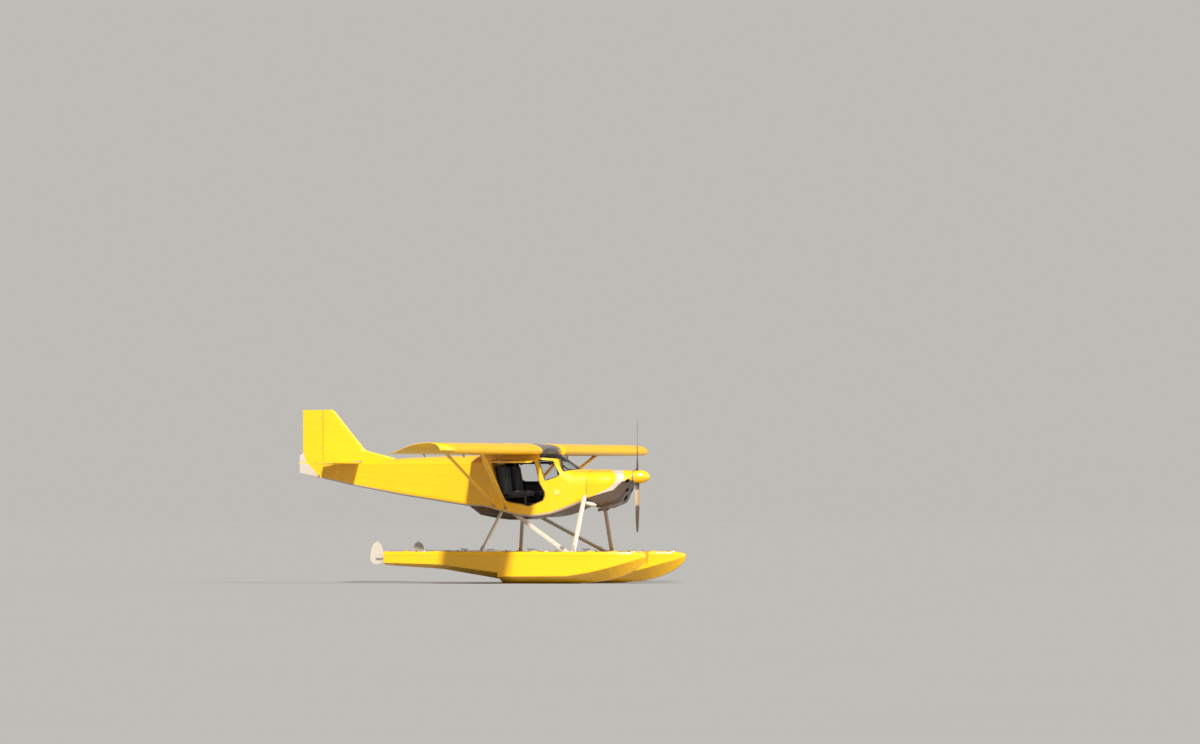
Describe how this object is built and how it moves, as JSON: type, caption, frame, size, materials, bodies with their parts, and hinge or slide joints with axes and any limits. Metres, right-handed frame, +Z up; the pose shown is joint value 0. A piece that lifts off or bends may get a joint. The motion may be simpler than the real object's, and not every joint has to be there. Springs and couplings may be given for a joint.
{
  "type": "two-seat high-wing floatplane",
  "caption": "Light high-wing two-seat floatplane on twin stepped floats, with turning propeller, flight controls, top-hinged doors and lifting water rudders.",
  "frame": {"origin": "halfway along and across the aircraft, on the level that the float keels rest on", "axes": "+X towards the nose, +Y to port along the span, +Z up"},
  "size_m": [6.34, 9, 2.8],
  "materials": {
    "covering": "gloss",
    "moulding_yellow": "gloss",
    "moulding_silver": "satin",
    "strut_yellow": "gloss",
    "strut_white": "gloss",
    "alloy": "satin",
    "window": "gloss",
    "engine": "matte",
    "blade": "gloss",
    "cabin_trim": "matte",
    "seat_cloth": "matte"
  },
  "bodies": {
    "airframe": {"cabin_shell": "covering", "quarter_window_port": "window", "quarter_window_starboard": "window", "windscreen": "window", "tail_cone": "covering", "belly_fairing": "moulding_silver", "cowl_upper": "moulding_yellow", "cowl_lower": "moulding_silver", "engine_block": "engine", "wing_port": "covering", "wing_starboard": "covering", "roof_centre_section": "covering", "lift_strut_front_port": "strut_yellow", "lift_strut_front_starboard": "strut_yellow", "lift_strut_rear_port": "strut_yellow", "lift_strut_rear_starboard": "strut_yellow", "float_strut_front_port": "strut_white", "float_strut_front_starboard": "strut_white", "float_strut_diagonal_port": "strut_white", "float_strut_diagonal_starboard": "strut_white", "float_strut_rear_port": "strut_white", "float_strut_rear_starboard": "strut_white", "spreader_bar_front": "alloy", "spreader_bar_rear": "alloy", "fin": "covering", "tailplane": "covering", "float_port": "moulding_yellow", "float_starboard": "moulding_yellow", "cabin_floor": "cabin_trim", "seat_frame": "alloy", "seat_cushion_port": "seat_cloth", "seat_cushion_starboard": "seat_cloth", "seat_back_port": "seat_cloth", "seat_back_starboard": "seat_cloth", "instrument_panel": "cabin_trim", "control_stick": "cabin_trim"},
    "propeller": {"propeller": "blade", "spinner": "moulding_yellow"},
    "rudder": {"rudder": "covering"},
    "elevator": {"elevator": "covering"},
    "aileron_port": {"aileron_port": "covering"},
    "aileron_starboard": {"aileron_starboard": "covering"},
    "flap_port": {"flap_port": "covering"},
    "flap_starboard": {"flap_starboard": "covering"},
    "door_port": {"door_port": "moulding_yellow", "door_window_port": "window"},
    "door_starboard": {"door_starboard": "moulding_yellow", "door_window_starboard": "window"},
    "water_rudder_post_port": {"water_rudder_post_port": "alloy"},
    "water_rudder_post_starboard": {"water_rudder_post_starboard": "alloy"},
    "water_rudder_port": {"water_rudder_port": "strut_white"},
    "water_rudder_starboard": {"water_rudder_starboard": "strut_white"}
  },
  "joints": [
    {"name": "propeller_spin", "type": "hinge", "parent": "airframe", "child": "propeller", "pos_m": [2.68, 0, 1.71], "axis": [1, 0, 0], "continuous": true},
    {"name": "rudder_hinge", "type": "hinge", "parent": "airframe", "child": "rudder", "pos_m": [-2.78, 0, 2.18], "axis": [0, 0, 1], "range_deg": [-25, 25]},
    {"name": "elevator_hinge", "type": "hinge", "parent": "airframe", "child": "elevator", "pos_m": [-2.48, 0, 1.935], "axis": [0, 1, 0], "range_deg": [-22, 25]},
    {"name": "aileron_port_hinge", "type": "hinge", "parent": "airframe", "child": "aileron_port", "pos_m": [0.28, 3.152, 2.103], "axis": [0, 1, 0], "range_deg": [-20, 20]},
    {"name": "aileron_starboard_hinge", "type": "hinge", "parent": "airframe", "child": "aileron_starboard", "pos_m": [0.28, -3.152, 2.103], "axis": [0, 1, 0], "range_deg": [-20, 20]},
    {"name": "flap_port_hinge", "type": "hinge", "parent": "airframe", "child": "flap_port", "pos_m": [0.28, 1.46, 2.103], "axis": [0, 1, 0], "range_deg": [-35, 0]},
    {"name": "flap_starboard_hinge", "type": "hinge", "parent": "airframe", "child": "flap_starboard", "pos_m": [0.28, -1.46, 2.103], "axis": [0, 1, 0], "range_deg": [-35, 0]},
    {"name": "door_port_hinge", "type": "hinge", "parent": "airframe", "child": "door_port", "pos_m": [0.82, 0.53, 1.99], "axis": [1, 0, 0], "range_deg": [0, 88]},
    {"name": "door_starboard_hinge", "type": "hinge", "parent": "airframe", "child": "door_starboard", "pos_m": [0.82, -0.53, 1.99], "axis": [1, 0, 0], "range_deg": [0, 88]},
    {"name": "water_rudder_steer_port", "type": "hinge", "parent": "airframe", "child": "water_rudder_post_port", "pos_m": [-1.322, 0.9, 0.42], "axis": [0, 0, 1], "range_deg": [-25, 25]},
    {"name": "water_rudder_steer_starboard", "type": "hinge", "parent": "airframe", "child": "water_rudder_post_starboard", "pos_m": [-1.322, -0.9, 0.42], "axis": [0, 0, 1], "range_deg": [-25, 25]},
    {"name": "water_rudder_lift_port", "type": "hinge", "parent": "water_rudder_post_port", "child": "water_rudder_port", "pos_m": [-1.457, 0.9, 0.392], "axis": [0, 1, 0], "range_deg": [-172, 0]},
    {"name": "water_rudder_lift_starboard", "type": "hinge", "parent": "water_rudder_post_starboard", "child": "water_rudder_starboard", "pos_m": [-1.457, -0.9, 0.392], "axis": [0, 1, 0], "range_deg": [-172, 0]}
  ],
  "couplings": [
    {"joint": "aileron_starboard_hinge", "follows": "aileron_port_hinge", "ratio": -1},
    {"joint": "flap_starboard_hinge", "follows": "flap_port_hinge", "ratio": 1},
    {"joint": "water_rudder_steer_port", "follows": "rudder_hinge", "ratio": 1},
    {"joint": "water_rudder_steer_starboard", "follows": "rudder_hinge", "ratio": 1},
    {"joint": "water_rudder_lift_starboard", "follows": "water_rudder_lift_port", "ratio": 1}
  ]
}
